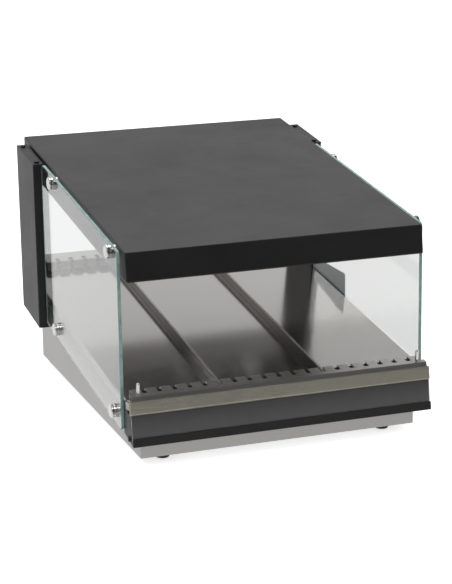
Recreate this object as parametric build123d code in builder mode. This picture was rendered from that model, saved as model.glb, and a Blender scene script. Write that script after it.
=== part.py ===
# Counter-top hamburger warmer: a heated, polished deck and a heated black hood, both tilted
# down towards the customer, with glass sides, two rear columns and an open front and rear.
# Millimetres, +Z up, the customer's side faces -Y. The origin is on the table, below the
# middle of the warmer.

import os
from math import cos, radians, sin, tan

from build123d import *

# Overall shape
hood_width = 450.0
hood_length = 570.0  # measured up the slope
hood_height = 40.0
tilt = 7.16  # degrees that the deck and hood fall towards the customer
front_lean = 7.0  # degrees that the front faces look upwards
foot_height = 10.0

# Sheet and play
sheet = 1.2
painted_sheet = 1.5
play = 0.3  # between parts that slip past each other
hole_play = 0.2  # radial, round a screw

# Levels: a drop is a distance straight down from the hood's top plane
deck_drop = 215.0
tray_depth = 50.0  # from the deck's top to the bottom of the tray under it
comb_rise = 14.0  # how far the comb strips and the dividers stand above the deck
deck_edge_height = 14.0

# Places: a setback is a distance behind the hood's front top edge
glass_front = 15.0
column_depth = 107.0
column_rear_gap = 28.5  # from the columns to the hood's rear
base_front = -5.0
base_rear_inset = 13.5
front_comb_edge = 8.6  # where the front comb strip stops over the deck
rear_comb_reach = 38.5  # how far the rear comb strip reaches in from the rear
comb_front = -15.5

# Side glass
glass_thickness = 5.0
glass_gap = 2.5  # between the hood's side and the glass
glass_top_drop = 3.0
glass_short = 0.5  # how far the glass stops above the tray's bottom
glass_corner = 9.0
glass_column_gap = 4.0
glass_arris = 0.6
glass_bore = 10.0
standoff_diameter = 20.0
standoff_cap_length = 7.0
standoff_chamfer = 1.0
standoff_bolt_diameter = 8.0
standoff_nut_width = 13.0
standoff_nut_length = 5.0
standoff_top_drop = 13.0
standoff_rise = 19.0  # of the lower ones, above the tray's bottom
standoff_front_inset = 32.0  # in from the glass's front edge
standoff_rear_inset = 68.0  # in from its rear edge

# Rear columns
column_thickness = 17.5
column_gap = 2.0  # between the hood's side and the column
column_top_drop = 5.0
column_below_tray = 6.0
column_corner = 2.0
cap_sheet = 2.0
cap_screw_inset = 10.5
cap_screw_diameter = 4.0
cap_screw_head = 8.0
post_inset = 0.5
post_web = 3.0
post_flange = 2.5
post_end_gap = 0.5
column_bolt_diameter = 6.0
column_bolt_head = 10.0
column_bolt_head_height = 4.0
column_bolt_inset = 24.0
column_bolt_top_drop = 22.0
column_bolt_rise = 25.0  # of the lower ones, above the tray's bottom
spacer_diameter = 16.0
column_nut_length = 5.0
cap_screw_head_height = 2.4
cap_screw_round = 0.8
cap_screw_length = 8.0

# Hood parts
hood_corner = 3.0
hood_edge = 2.0
hood_tray_sheet = 1.5
hood_tray_inset = 1.0
hood_tray_lip = 12.0
lamp_window = (380.0, 50.0)
lamp_window_centre = 70.0
lamp_cover_margin = 8.0
lamp_cover_thickness = 3.0
lamp_diameter = 16.0
lamp_length = 300.0
lamp_drop = 22.0
lamp_socket_length = 22.0
lamp_socket_height = 29.0
heater_window = (360.0, 280.0)
heater_window_centre = 300.0
element_diameter = 8.0
element_bend = 0.45  # bend radius as a share of the pitch
element_runs = 6
element_pitch = 40.0
element_drop = 26.0
element_tail = 40.0
element_holder = (10.0, 250.0, 21.0)  # along X, along the slope, tall
reflector_sheet = 0.8
reflector_rise = 28.0
reflector_margin = 6.0
reflector_gap = 17.5  # to the hood's sides
guard_wire = 3.0
guard_rods = 11
guard_cross_rods = 3

# Deck parts
divider_slots = (-4, 3)  # which comb slots the dividers stand in, counted from the middle
divider_sheet = 1.5
divider_hem = 3.4
divider_hem_height = 4.0
divider_groove = (1.0, 2.5)  # along the hem's top, wide and deep
divider_round = 0.5
comb_slots = 21  # the outermost are half slots at the hood's sides
comb_slot_width = 7.2
comb_slot_depth = 15.0
comb_sheet = 1.5
comb_nose = 2.2  # thickness of the folded front edge, measured in from the rail's face
divider_front = -5.4  # of the hem, which lies in the comb's slots
blade_front = 0.5
pin_diameter = 5.0
pin_height = 17.5
pin_round = 2.4
pin_setback = -8.0
pin_side_inset = 11.25
deck_element_runs = 8
deck_element_gap = 23.8  # to the tray's sides
deck_element_pitch = 60.0
clamp_width = 12.0
clamp_count = 3
insulation_thickness = 22.0
bulb_diameter = 6.0
bulb_length = 80.0
cable_window = (120.0, 60.0)
deck_element_tail = 20.0
insulation_gap = 20.0

# Ticket rail, in distances down its front face and in from that face
rail_step = 6.1  # from the comb strip's top down to the rail's
rail_top_reach = 19.0
rail_height = 64.0
rail_overhang = 3.6  # past the hood's sides
lip_height = 12.0
lip_proud = 2.0
lip_thickness = 1.8
cover_thickness = 0.8
front_strip_height = 19.0
front_strip_inset = 1.2
hem_height = 1.4
ticket_thickness = 0.8
ticket_inset = 3.0
ticket_top = 15.0
ticket_bottom = 55.0
rail_face_inset = 4.4
rail_face_top = 2.5
rail_glass_gap = 1.0
rail_floor_gap = 1.0
rail_foot_rise = 9.5  # how much the rail's end plates rise towards the rear
rail_shelf_step = 1.5  # from the deck down to the rail's shelf
tab = (19.0, 10.0)
tab_top = 1.5
hem_inset = 1.0
hem_proud = 0.2
rail_screw_diameter = 3.0
rail_screw_length = 6.0
rail_screw_head_height = 2.0
rail_screw_places = ((15.0, 10.5, 4.5), (53.8, 14.8, 8.5))  # down, inward, head diameter

# Base parts
base_front_height = 30.4
base_inset = 14.0  # in from the tray's sides
base_corner = 2.0
base_front_dip = 2.5
base_flange = 14.0
base_screw_inset = 60.0  # in from the base's front and rear
base_screw_diameter = 5.0
base_screw_head = (9.0, 3.0)
base_screw_length = 9.0
foot_diameter = 20.0
foot_side_inset = 40.0
foot_end_inset = 26.0
foot_chamfer = 1.0
foot_screw_diameter = 5.0
foot_screw_length = 15.0
foot_screw_head = (9.0, 3.0)
foot_recess = (10.0, 4.0)
panel_size = (230.0, 66.0)
panel_across = 60.0  # from the middle, to the right as seen from behind
panel_margin = 8.0
panel_sheet = 1.5
panel_corner = 4.0
panel_screw_inset = 5.0
panel_screw_diameter = 3.0
panel_screw_head = (6.0, 2.0)
panel_screw_length = 8.0
knob_diameter = 36.0
knob_depth = 10.5
knob_skirt = 3.0
knob_grip_diameter = 27.0
knob_flutes = 12
knob_flute = 3.0
knob_chamfer = 0.8
knob_pointer = (1.6, 0.6)
knob_shaft_diameter = 6.0
knob_shaft_length = 12.0
running_fit = 0.05  # radial, where a shaft turns
knob_margin = 45.0  # in from the panel's end
thermostat_size = (40.0, 40.0, 24.0)
thermostat_neck = 11.0
rocker_size = (13.0, 20.0)
switch_wall = 1.5
switch_depth = 24.0
switch_bezel = 2.5
switch_bezel_height = 1.5
switch_steps = (75.0, 35.0)  # from the pilot lamp
rocker_proud = 4.0
rocker_middle = 2.0
rocker_back = 5.0
rocker_room = 11.0
rocker_tilt = 8.0  # the rocker rests with its upper half pressed
rocker_pivot_diameter = 3.0
pilot_diameter = 10.0
pilot_margin = 35.0  # in from the panel's other end
pilot_neck = 8.0
pilot_proud = 2.5
pilot_round = 2.0
pilot_length = 18.0
gland_thread_diameter = 16.0
gland_thread_length = 12.0
gland_head_width = 20.0
gland_head_height = 9.0
gland_nut_height = 4.0
gland_bore = 9.0
gland_place = (-150.0, 50.0)
terminal_size = (80.0, 18.0, 16.0)
terminal_setback = 60.0
terminal_ways = 6
terminal_screw_diameter = 5.0
harness_diameter = 6.0
harness_bend = 11.0
harness_wall_gap = 1.0
harness_setback = 60.0
harness_reach = 14.0
bush_thickness = 1.5

# Worked out from the sizes above
slope = tan(radians(tilt))
lean = radians(front_lean)
half_hood = hood_width / 2
half_base = half_hood - base_inset
half_rail = half_hood + rail_overhang
tray_drop = deck_drop + tray_depth
comb_drop = deck_drop - comb_rise
rail_top_drop = comb_drop + rail_step
rail_shelf_drop = deck_drop + rail_shelf_step
glass_drop = tray_drop - glass_short
column_bottom_drop = tray_drop + column_below_tray
standoff_rows = (standoff_top_drop, tray_drop - standoff_rise)
column_bolt_rows = (column_bolt_top_drop, tray_drop - column_bolt_rise)
front_top_height = foot_height + base_front_height + base_front_dip + tray_drop - slope * base_front
hood_run = hood_length * cos(radians(tilt))
rail_front = -rail_top_reach - rail_height * sin(lean) - lip_proud * cos(lean)
hood_front = -(hood_run + rail_front) / 2
base_rear = hood_run - base_rear_inset
column_rear = hood_run - column_rear_gap
column_front = column_rear - column_depth
rear_comb_edge = hood_run - rear_comb_reach
rail_end_rear = glass_front - rail_glass_gap
glass_inner = half_hood + glass_gap
glass_outer = glass_inner + glass_thickness
glass_rear = column_front - glass_column_gap
standoff_columns = (glass_front + standoff_front_inset, glass_rear - standoff_rear_inset)
column_inner = half_hood + column_gap
column_outer = column_inner + column_thickness
deck_edge_outer = half_hood + sheet
comb_pitch = hood_width / (comb_slots - 1)
base_middle = (base_front + base_rear) / 2
base_screw_rows = (base_front + base_screw_inset, base_middle, base_rear - base_screw_inset)
foot_rows = (base_front + foot_end_inset, base_rear - foot_end_inset)
base_rear_height = front_top_height - tray_drop + slope * base_rear
panel_centre = (panel_across, (foot_height + base_rear_height) / 2)
knob_offset = knob_margin - panel_size[0] / 2
pilot_offset = panel_size[0] / 2 - pilot_margin
switch_offsets = tuple(pilot_offset - step for step in switch_steps)
reflector_half = half_hood - painted_sheet - reflector_gap
element_run_length = 2 * (reflector_half - reflector_margin - element_holder[0] - element_tail)
deck_element_length = 2 * (half_hood - sheet - deck_element_gap - deck_element_tail)
rearward = Vector(0, 1, 0)
up = Vector(0, 0, 1)

os.makedirs("parts", exist_ok=True)


def at(setback, drop):
    # A point of a side view: so far behind the hood's front edge, so far below its top plane
    return (hood_front + setback, front_top_height - drop + slope * setback)


def at_height(setback, height):
    return (hood_front + setback, height)


def rail_at(down, inward):
    # A point of the ticket rail's side view, measured along and in from its leaning face
    front_y, front_z = at(-rail_top_reach, rail_top_drop)
    return (
        front_y - down * sin(lean) + inward * cos(lean),
        front_z - down * cos(lean) - inward * sin(lean),
    )


def tilted(drop):
    # The plane parallel to the deck and hood, its sketch Y running up the slope
    return Plane(
        origin=(0, hood_front, front_top_height - drop),
        x_dir=(1, 0, 0),
        z_dir=(0, -sin(radians(tilt)), cos(radians(tilt))),
    )


def up_slope(setback):
    # The distance along a tilted plane that reaches this setback
    return setback / cos(radians(tilt))


def block(front, rear, top_drop, bottom_drop):
    # A side view between two setbacks and two drops
    return [at(front, top_drop), at(rear, top_drop), at(rear, bottom_drop), at(front, bottom_drop)]


def prism(points, x_low, x_high, mode=Mode.ADD):
    # A side view pushed across the warmer
    with BuildSketch(Plane.YZ.offset(x_low)) as side_view:
        with BuildLine():
            Polyline(*points, close=True)
        make_face()
    extrude(side_view.sketch, amount=x_high - x_low, mode=mode)


def rod_across(setback, drop, diameter, x_low, x_high, mode=Mode.ADD):
    # A round bar along X
    with BuildSketch(Plane.YZ.offset(x_low)) as end_view:
        with Locations(at(setback, drop)):
            Circle(diameter / 2)
    extrude(end_view.sketch, amount=x_high - x_low, mode=mode)


def nut_across(setback, drop, width, bore, x_low, x_high):
    # A hexagonal nut along X with a clear bore
    with BuildSketch(Plane.YZ.offset(x_low)) as end_view:
        with Locations(at(setback, drop)):
            RegularPolygon(width / 2, 6, major_radius=False)
            Circle(bore / 2, mode=Mode.SUBTRACT)
    extrude(end_view.sketch, amount=x_high - x_low)


def both_sides(low, high):
    # The same stretch of X on the right and, mirrored, on the left
    return [(low, high), (-high, -low)]


def along(edge, direction):
    # Whether an edge runs along this direction, give or take the slope
    return abs((edge % 0).dot(direction)) > cos(radians(2 * tilt))


def above_tilt(shape):
    # How high an edge or face lies over a plane that falls with the deck and hood
    return round(shape.center().Z - slope * shape.center().Y, 2)


def write(piece, name):
    piece.part.label = name
    export_step(piece.part, f"parts/{name}.step")


def standoff_places():
    return [(setback, drop) for setback in standoff_columns for drop in standoff_rows]


def column_bolt_places():
    setbacks = (column_front + column_bolt_inset, column_rear - column_bolt_inset)
    return [(setback, drop) for setback in setbacks for drop in column_bolt_rows]


def drill_sides(drops, half_width):
    # The clear holes for standoff and column bolts in a side wall
    for setback, drop in standoff_places():
        if drop in drops:
            bore = standoff_bolt_diameter + 2 * hole_play
            rod_across(setback, drop, bore, -half_width, half_width, Mode.SUBTRACT)
    for setback, drop in column_bolt_places():
        if drop in drops:
            bore = column_bolt_diameter + 2 * hole_play
            rod_across(setback, drop, bore, -half_width, half_width, Mode.SUBTRACT)


def harness_hole(drop, x_low, x_high):
    # The bushed hole that the wiring harness passes through, on the right only
    bore = harness_diameter + 2 * bush_thickness + 2 * hole_play
    rod_across(column_front + harness_setback, drop, bore, x_low, x_high, Mode.SUBTRACT)


def rear_plane(outward=0.0):
    # Flat on the base's rear face, as a person behind the warmer sees it
    return Plane(origin=(0, hood_front + base_rear + outward, 0), x_dir=(-1, 0, 0), z_dir=(0, 1, 0))


def foot_places():
    across = half_base - foot_side_inset
    return [(side * across, hood_front + row) for side in (-1, 1) for row in foot_rows]


def tray_screw_places():
    return [(side * (half_base - base_flange / 2), up_slope(setback))
            for side in (-1, 1) for setback in base_screw_rows]


def bottom_screw_places():
    return [(side * (half_base - base_flange / 2), hood_front + setback)
            for side in (-1, 1) for setback in base_screw_rows]


def panel_screw_places():
    across = panel_size[0] / 2 - panel_screw_inset
    up = panel_size[1] / 2 - panel_screw_inset
    return [(panel_centre[0] + side * across, panel_centre[1] + level * up)
            for side in (-1, 1) for level in (-1, 1)]


def on_panel(offset):
    return (panel_centre[0] + offset, panel_centre[1])


def serpentine(plane, runs, run_length, pitch, centre, diameter, tail):
    # A sheathed heating element bent to and fro, with both ends out at one side
    first = centre - (runs - 1) * pitch / 2
    points = [(-run_length / 2 - tail, first)]
    for run in range(runs):
        start = -run_length / 2 if run % 2 == 0 else run_length / 2
        level = first + run * pitch
        if run > 0:
            points.append((start, level))
        points.append((-start, level))
    points[-1] = (-run_length / 2 - tail, first + (runs - 1) * pitch)
    with BuildLine(plane) as route:
        FilletPolyline(*points, radius=pitch * element_bend)
    with BuildSketch(Plane(route.line @ 0, z_dir=route.line % 0)) as section:
        Circle(diameter / 2)
    sweep(section.sketch, path=route.line)


# The hood

def make_hood_shell():
    wall = painted_sheet
    lean_reach = -hood_height * tan(lean)
    outline = [at(0, 0), at(hood_run, 0), at(hood_run, hood_height)]
    outline.append(at_height(lean_reach, at(0, hood_height)[1]))
    below = hood_height + wall
    inside = [at(wall, wall), at(hood_run - wall, wall), at(hood_run - wall, below)]
    inside.append(at(-below * tan(lean) + wall, below))
    with BuildPart() as hood_shell:
        prism(outline, -half_hood, half_hood)
        fillet(hood_shell.edges().filter_by(lambda edge: along(edge, up)), hood_corner)
        fillet(hood_shell.faces().sort_by(above_tilt)[-1].edges(), hood_edge)
        prism(inside, -half_hood + wall, half_hood - wall, Mode.SUBTRACT)
        drill_sides((standoff_rows[0], column_bolt_rows[0]), half_hood + wall)
        harness_hole(column_bolt_rows[0], half_hood - 2 * wall, half_hood + wall)
    write(hood_shell, "hood_shell")


def make_hood_tray():
    width = half_hood - hood_tray_inset
    lip_half = half_hood - painted_sheet - play
    lip_front = painted_sheet + play
    lip_rear = hood_run - painted_sheet - play
    front = -hood_height * tan(lean) + hood_tray_inset
    bottom = hood_height + hood_tray_sheet
    with BuildPart() as hood_tray:
        prism(block(front, hood_run - hood_tray_inset, hood_height, bottom), -width, width)
        prism(block(lip_front, lip_rear, hood_height - hood_tray_lip, hood_height), -lip_half, lip_half)
        inner = block(lip_front + sheet, lip_rear - sheet, 0, hood_height)
        prism(inner, -lip_half + sheet, lip_half - sheet, Mode.SUBTRACT)
        for centre, window in ((lamp_window_centre, lamp_window), (heater_window_centre, heater_window)):
            opening = block(centre - window[1] / 2, centre + window[1] / 2, 0, bottom + play)
            prism(opening, -window[0] / 2, window[0] / 2, Mode.SUBTRACT)
    write(hood_tray, "hood_tray")


def make_lamp():
    half = lamp_length / 2
    reach = lamp_window[1] / 2 + lamp_cover_margin
    cover_half = lamp_window[0] / 2 + lamp_cover_margin
    cover_top = hood_height - lamp_cover_thickness
    with BuildPart() as lamp_cover:
        plate = block(lamp_window_centre - reach, lamp_window_centre + reach, cover_top, hood_height)
        prism(plate, -cover_half, cover_half)
    write(lamp_cover, "lamp_cover")
    with BuildPart() as lamp_tube:
        rod_across(lamp_window_centre, lamp_drop, lamp_diameter, -half, half)
        fillet(lamp_tube.edges(), lamp_diameter / 8)
    write(lamp_tube, "lamp_tube")
    with BuildPart() as lamp_sockets:
        front = lamp_window_centre - lamp_diameter / 2 - play
        rear = lamp_window_centre + lamp_diameter / 2 + play
        for low, high in both_sides(half, half + lamp_socket_length):
            prism(block(front, rear, painted_sheet, painted_sheet + lamp_socket_height), low, high)
    write(lamp_sockets, "lamp_sockets")


def make_hood_heater():
    holder_x, holder_length, holder_height = element_holder
    holder_low = -element_run_length / 2 - element_tail
    with BuildPart() as hood_heater:
        serpentine(
            tilted(element_drop),
            element_runs,
            element_run_length,
            element_pitch,
            up_slope(heater_window_centre),
            element_diameter,
            element_tail + holder_x + holder_x,
        )
    write(hood_heater, "hood_heater")
    tails = [heater_window_centre + side * (element_runs - 1) * element_pitch / 2 * cos(radians(tilt))
             for side in (-1, 1)]
    with BuildPart() as heater_holder:
        front = heater_window_centre - holder_length / 2
        rear = heater_window_centre + holder_length / 2
        holder = block(front, rear, hood_height - holder_height, hood_height)
        prism(holder, holder_low - holder_x, holder_low)
        for tail in tails:
            rod_across(
                tail,
                element_drop,
                element_diameter + 2 * hole_play,
                holder_low - 2 * holder_x,
                holder_low + holder_x,
                Mode.SUBTRACT,
            )
    write(heater_holder, "heater_holder")
    foot_front = heater_window_centre - heater_window[1] / 2 - holder_x
    foot_rear = heater_window_centre + heater_window[1] / 2 + holder_x
    top = element_drop + element_diameter / 2 / cos(radians(tilt)) + play
    bar_low = element_run_length / 2 - element_pitch
    with BuildPart() as heater_support:
        bar = block(foot_front, foot_rear, top, top + sheet)
        prism(bar, bar_low, bar_low + holder_x)
        for front in (foot_front, foot_rear - sheet):
            prism(block(front, front + sheet, top, hood_height), bar_low, bar_low + holder_x)
    write(heater_support, "heater_support")
    wall = reflector_sheet
    half = reflector_half
    front = foot_front - reflector_margin
    rear = foot_rear + reflector_margin
    top = hood_height - reflector_rise
    with BuildPart() as heater_reflector:
        prism(block(front, rear, top, hood_height), -half, half)
        inside = block(front + wall, rear - wall, top + wall, hood_height + wall)
        prism(inside, -half + wall, half - wall, Mode.SUBTRACT)
        for tail in tails:
            bore = element_diameter + 4 * hole_play
            rod_across(tail, element_drop, bore, -half - wall, -half + 2 * wall, Mode.SUBTRACT)
    write(heater_reflector, "heater_reflector")


def make_heater_guard():
    length = heater_window[1] + 2 * guard_wire
    half = heater_window[0] / 2 + guard_wire
    drop = hood_height + hood_tray_sheet + guard_wire / 2 / cos(radians(tilt))
    middle = tilted(drop).from_local_coords((0, up_slope(heater_window_centre), 0))
    along = Plane(origin=middle, x_dir=(1, 0, 0), z_dir=(0, cos(radians(tilt)), sin(radians(tilt))))
    spacing = (length - guard_wire) / (guard_rods - 1)
    with BuildPart() as heater_guard:
        for rod in range(guard_rods):
            setback = heater_window_centre + (rod - (guard_rods - 1) / 2) * spacing * cos(radians(tilt))
            rod_across(setback, drop, guard_wire, -half, half)
        with BuildSketch(along) as ends:
            with GridLocations(half * 2 / guard_cross_rods, 0, guard_cross_rods, 1):
                Circle(guard_wire / 2)
        extrude(ends.sketch, amount=length / 2, both=True)
    write(heater_guard, "heater_guard")


# The deck

def make_deck_tray():
    with BuildPart() as deck_tray:
        prism(block(0, hood_run, deck_drop + sheet, tray_drop), -half_hood, half_hood)
        inside = block(sheet, hood_run - sheet, deck_drop, tray_drop - sheet)
        prism(inside, -half_hood + sheet, half_hood - sheet, Mode.SUBTRACT)
        drill_sides((standoff_rows[1], column_bolt_rows[1]), half_hood + sheet)
        harness_hole(column_bolt_rows[1], half_hood - 2 * sheet, half_hood + sheet)
        with BuildSketch(tilted(tray_drop)) as openings:
            with Locations((0, up_slope(base_middle))):
                Rectangle(*cable_window)
            with Locations(*tray_screw_places()):
                Circle(base_screw_diameter / 2 + hole_play)
        extrude(openings.sketch, amount=2 * sheet, both=True, mode=Mode.SUBTRACT)
    write(deck_tray, "deck_tray")


def make_deck_plate():
    edge = deck_drop + deck_edge_height
    with BuildPart() as deck_plate:
        prism(block(0, hood_run, deck_drop, edge), -deck_edge_outer, deck_edge_outer)
        below = block(-sheet, hood_run + sheet, deck_drop + sheet, edge + sheet)
        prism(below, -half_hood, half_hood, Mode.SUBTRACT)
        top_edges = deck_plate.faces().sort_by(above_tilt)[-1].edges()
        fillet(top_edges.filter_by(lambda edge: along(edge, rearward)), sheet / 2)
    write(deck_plate, "deck_plate")


def cut_comb(edge_setback, towards_table):
    # The slots that hold the lane dividers, through the top and the riser
    middle = (comb_slots - 1) / 2
    slot_end = edge_setback - towards_table * comb_slot_depth
    past_riser = edge_setback + towards_table * comb_sheet
    slot = block(slot_end, past_riser, comb_drop - comb_sheet, deck_drop + comb_sheet)
    for index in range(comb_slots):
        centre = (index - middle) * comb_pitch
        prism(slot, centre - comb_slot_width / 2, centre + comb_slot_width / 2, Mode.SUBTRACT)


def make_comb_strips():
    width = deck_edge_outer
    strip_top = rail_at(0, front_strip_inset)
    turned_back = rail_at(0, front_strip_inset + comb_nose)
    with BuildPart() as front_comb_strip:
        prism(block(comb_front, front_comb_edge, comb_drop, comb_drop + comb_sheet), -width, width)
        riser = block(front_comb_edge - comb_sheet, front_comb_edge, comb_drop, deck_drop)
        prism(riser, -width, width)
        nose = [at(comb_front, comb_drop), strip_top, turned_back]
        nose.append(at(comb_front + comb_sheet, comb_drop + comb_sheet))
        prism(nose, -width, width)
        cut_comb(front_comb_edge, 1)
    write(front_comb_strip, "front_comb_strip")
    with BuildPart() as rear_comb_strip:
        prism(block(rear_comb_edge, hood_run, comb_drop, comb_drop + comb_sheet), -width, width)
        for front in (rear_comb_edge, hood_run - comb_sheet):
            prism(block(front, front + comb_sheet, comb_drop, deck_drop), -width, width)
        cut_comb(rear_comb_edge, -1)
    write(rear_comb_strip, "rear_comb_strip")
    with BuildPart() as end_pins:
        with BuildSketch(tilted(comb_drop)) as feet_of_pins:
            for side in (-1, 1):
                with Locations((side * (half_hood - pin_side_inset), up_slope(pin_setback))):
                    Circle(pin_diameter / 2)
        extrude(feet_of_pins.sketch, amount=pin_height)
        fillet(end_pins.edges().group_by(Axis.Z)[-1], pin_round)
    write(end_pins, "end_pins")


def make_lane_dividers():
    front = divider_front
    rear = rear_comb_edge + comb_slot_depth - play
    top = comb_drop
    groove_half = divider_groove[0] / 2
    for slot, name in zip(divider_slots, ("lane_divider_left", "lane_divider_right")):
        centre = slot * comb_pitch
        with BuildPart() as lane_divider:
            blade = block(blade_front, rear, top, deck_drop - play)
            prism(blade, centre - divider_sheet / 2, centre + divider_sheet / 2)
            hem = block(front, rear, top, top + divider_hem_height)
            prism(hem, centre - divider_hem / 2, centre + divider_hem / 2)
            ridges = lane_divider.faces().sort_by(above_tilt)[-1].edges()
            fillet(ridges.filter_by(lambda edge: along(edge, rearward)), divider_round)
            groove = block(front - play, rear + play, top - play, top + divider_groove[1])
            prism(groove, centre - groove_half, centre + groove_half, Mode.SUBTRACT)
        write(lane_divider, name)


def make_deck_heater():
    under_plate = deck_drop + sheet + (element_diameter / 2 + hole_play) / cos(radians(tilt))
    centre = hood_run / 2
    with BuildPart() as deck_heater:
        serpentine(
            tilted(under_plate),
            deck_element_runs,
            deck_element_length,
            deck_element_pitch,
            up_slope(centre),
            element_diameter,
            deck_element_tail,
        )
    write(deck_heater, "deck_heater")
    reach = deck_element_runs * deck_element_pitch / 2
    clamp_top = under_plate + (element_diameter / 2 + hole_play) / cos(radians(tilt))
    spacing = deck_element_length / (clamp_count + 1)
    with BuildPart() as heater_clamps:
        for index in range(clamp_count):
            low = (index - (clamp_count - 1) / 2) * spacing - clamp_width / 2
            bar = block(centre - reach, centre + reach, clamp_top, clamp_top + sheet)
            prism(bar, low, low + clamp_width)
            for front in (centre - reach, centre + reach - sheet):
                foot = block(front, front + sheet, deck_drop + sheet, clamp_top)
                prism(foot, low, low + clamp_width)
    write(heater_clamps, "heater_clamps")
    top = clamp_top + 2 * sheet
    half = half_hood - insulation_gap
    with BuildPart() as deck_insulation:
        front = insulation_gap / 2
        prism(block(front, hood_run - front, top, top + insulation_thickness), -half, half)
    write(deck_insulation, "deck_insulation")
    with BuildPart() as thermostat_bulb:
        drop = deck_drop + sheet + (bulb_diameter / 2 + hole_play) / cos(radians(tilt))
        rod_across(centre, drop, bulb_diameter, -bulb_length / 2, bulb_length / 2)
    write(thermostat_bulb, "thermostat_bulb")


# The front rail

def rail_bar(top, bottom, outer, inner, x_low, x_high, mode=Mode.ADD):
    points = [rail_at(top, outer), rail_at(top, inner), rail_at(bottom, inner), rail_at(bottom, outer)]
    prism(points, x_low, x_high, mode)


def make_front_strip():
    outer = half_rail + sheet
    back = front_strip_inset + sheet
    with BuildPart() as front_strip:
        rail_bar(0, front_strip_height, front_strip_inset, back, -outer, outer)
        hem_top = front_strip_height - hem_height
        rail_bar(hem_top, front_strip_height, hem_inset, back + hem_proud, -outer, outer)
        rail_bar(0, sheet, front_strip_inset, tab[0], -half_rail + sheet, half_rail - sheet)
        for low, high in both_sides(half_rail + hole_play, outer):
            rail_bar(tab_top, tab_top + tab[1], front_strip_inset, tab[0], low, high)
    write(front_strip, "front_strip")


def make_ticket_rail():
    lip_back = lip_thickness - lip_proud
    lip_bottom = rail_at(rail_height, -lip_proud)
    foot_slope = rail_foot_rise / (rail_end_rear - rail_front)
    floor_rear = base_front - rail_floor_gap
    with BuildPart() as ticket_rail:
        rail_bar(rail_height - lip_height, rail_height, -lip_proud, lip_back, -half_rail, half_rail)
        ledge = (ticket_bottom + play, ticket_bottom + play + sheet)
        face_back = rail_face_inset + painted_sheet
        rail_bar(*ledge, lip_back, face_back, -half_rail, half_rail)
        rail_bar(rail_face_top, ledge[1], rail_face_inset, face_back, -half_rail, half_rail)
        floor_rise = foot_slope * (floor_rear - rail_front)
        floor = [lip_bottom, at_height(floor_rear, lip_bottom[1] + floor_rise)]
        floor.append(at_height(floor_rear, lip_bottom[1] + floor_rise + painted_sheet))
        floor.append((lip_bottom[0], lip_bottom[1] + painted_sheet))
        prism(floor, -half_rail, half_rail)
        shelf_front = rail_at(rail_face_top, rail_face_inset)[0] - hood_front
        shelf = block(shelf_front, 0, rail_shelf_drop, rail_shelf_drop + painted_sheet)
        prism(shelf, -half_rail, half_rail)
        back = block(-painted_sheet, 0, rail_shelf_drop, tray_drop - 2 * painted_sheet)
        prism(back, -half_hood, half_hood)
        end = [rail_at(rail_face_top, rail_face_inset), rail_at(ledge[1], rail_face_inset)]
        end += [rail_at(ledge[1], -lip_proud), lip_bottom]
        end.append(at_height(rail_end_rear, lip_bottom[1] + rail_foot_rise))
        end.append(at(rail_end_rear, rail_shelf_drop))
        for low, high in both_sides(half_rail - painted_sheet, half_rail):
            prism(end, low, high)
        with BuildSketch(Plane.YZ.offset(-half_rail)) as screw_holes:
            for down, inward, head in rail_screw_places:
                with Locations(rail_at(down, inward)):
                    Circle(rail_screw_diameter / 2 + hole_play)
        extrude(screw_holes.sketch, amount=2 * half_rail, mode=Mode.SUBTRACT)
    write(ticket_rail, "ticket_rail")


def make_ticket_parts():
    with BuildPart() as ticket_strip:
        ticket_back = ticket_inset + ticket_thickness
        rail_bar(ticket_top, ticket_bottom, ticket_inset, ticket_back, -half_rail, half_rail)
    write(ticket_strip, "ticket_strip")
    with BuildPart() as ticket_cover:
        rail_bar(play, ticket_bottom, 0, cover_thickness, -half_rail, half_rail)
    write(ticket_cover, "ticket_cover")
    with BuildPart() as rail_screws:
        for down, inward, head in rail_screw_places:
            centre = rail_at(down, inward)
            for side in (-1, 1):
                with BuildSketch(Plane.YZ.offset(side * half_rail)) as head_view:
                    with Locations(centre):
                        Circle(head / 2)
                extrude(head_view.sketch, amount=side * rail_screw_head_height)
        fillet(rail_screws.edges().filter_by(lambda edge: abs(edge.center().X) > half_rail + 1), sheet)
        for down, inward, head in rail_screw_places:
            for side in (-1, 1):
                with BuildSketch(Plane.YZ.offset(side * half_rail)) as shank_view:
                    with Locations(rail_at(down, inward)):
                        Circle(rail_screw_diameter / 2)
                extrude(shank_view.sketch, amount=-side * rail_screw_length)
    write(rail_screws, "rail_screws")


# The side glass and its standoffs

def make_side_glass():
    for side, name in ((-1, "side_glass_left"), (1, "side_glass_right")):
        low, high = sorted((side * glass_inner, side * glass_outer))
        with BuildPart() as side_glass:
            prism(block(glass_front, glass_rear, glass_top_drop, glass_drop), low, high)
            fillet(side_glass.edges().filter_by(Axis.X), glass_corner)
            chamfer(side_glass.faces().filter_by(Axis.X).edges(), glass_arris)
            for setback, drop in standoff_places():
                rod_across(setback, drop, glass_bore, low - sheet, high + sheet, Mode.SUBTRACT)
        write(side_glass, name)


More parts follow.
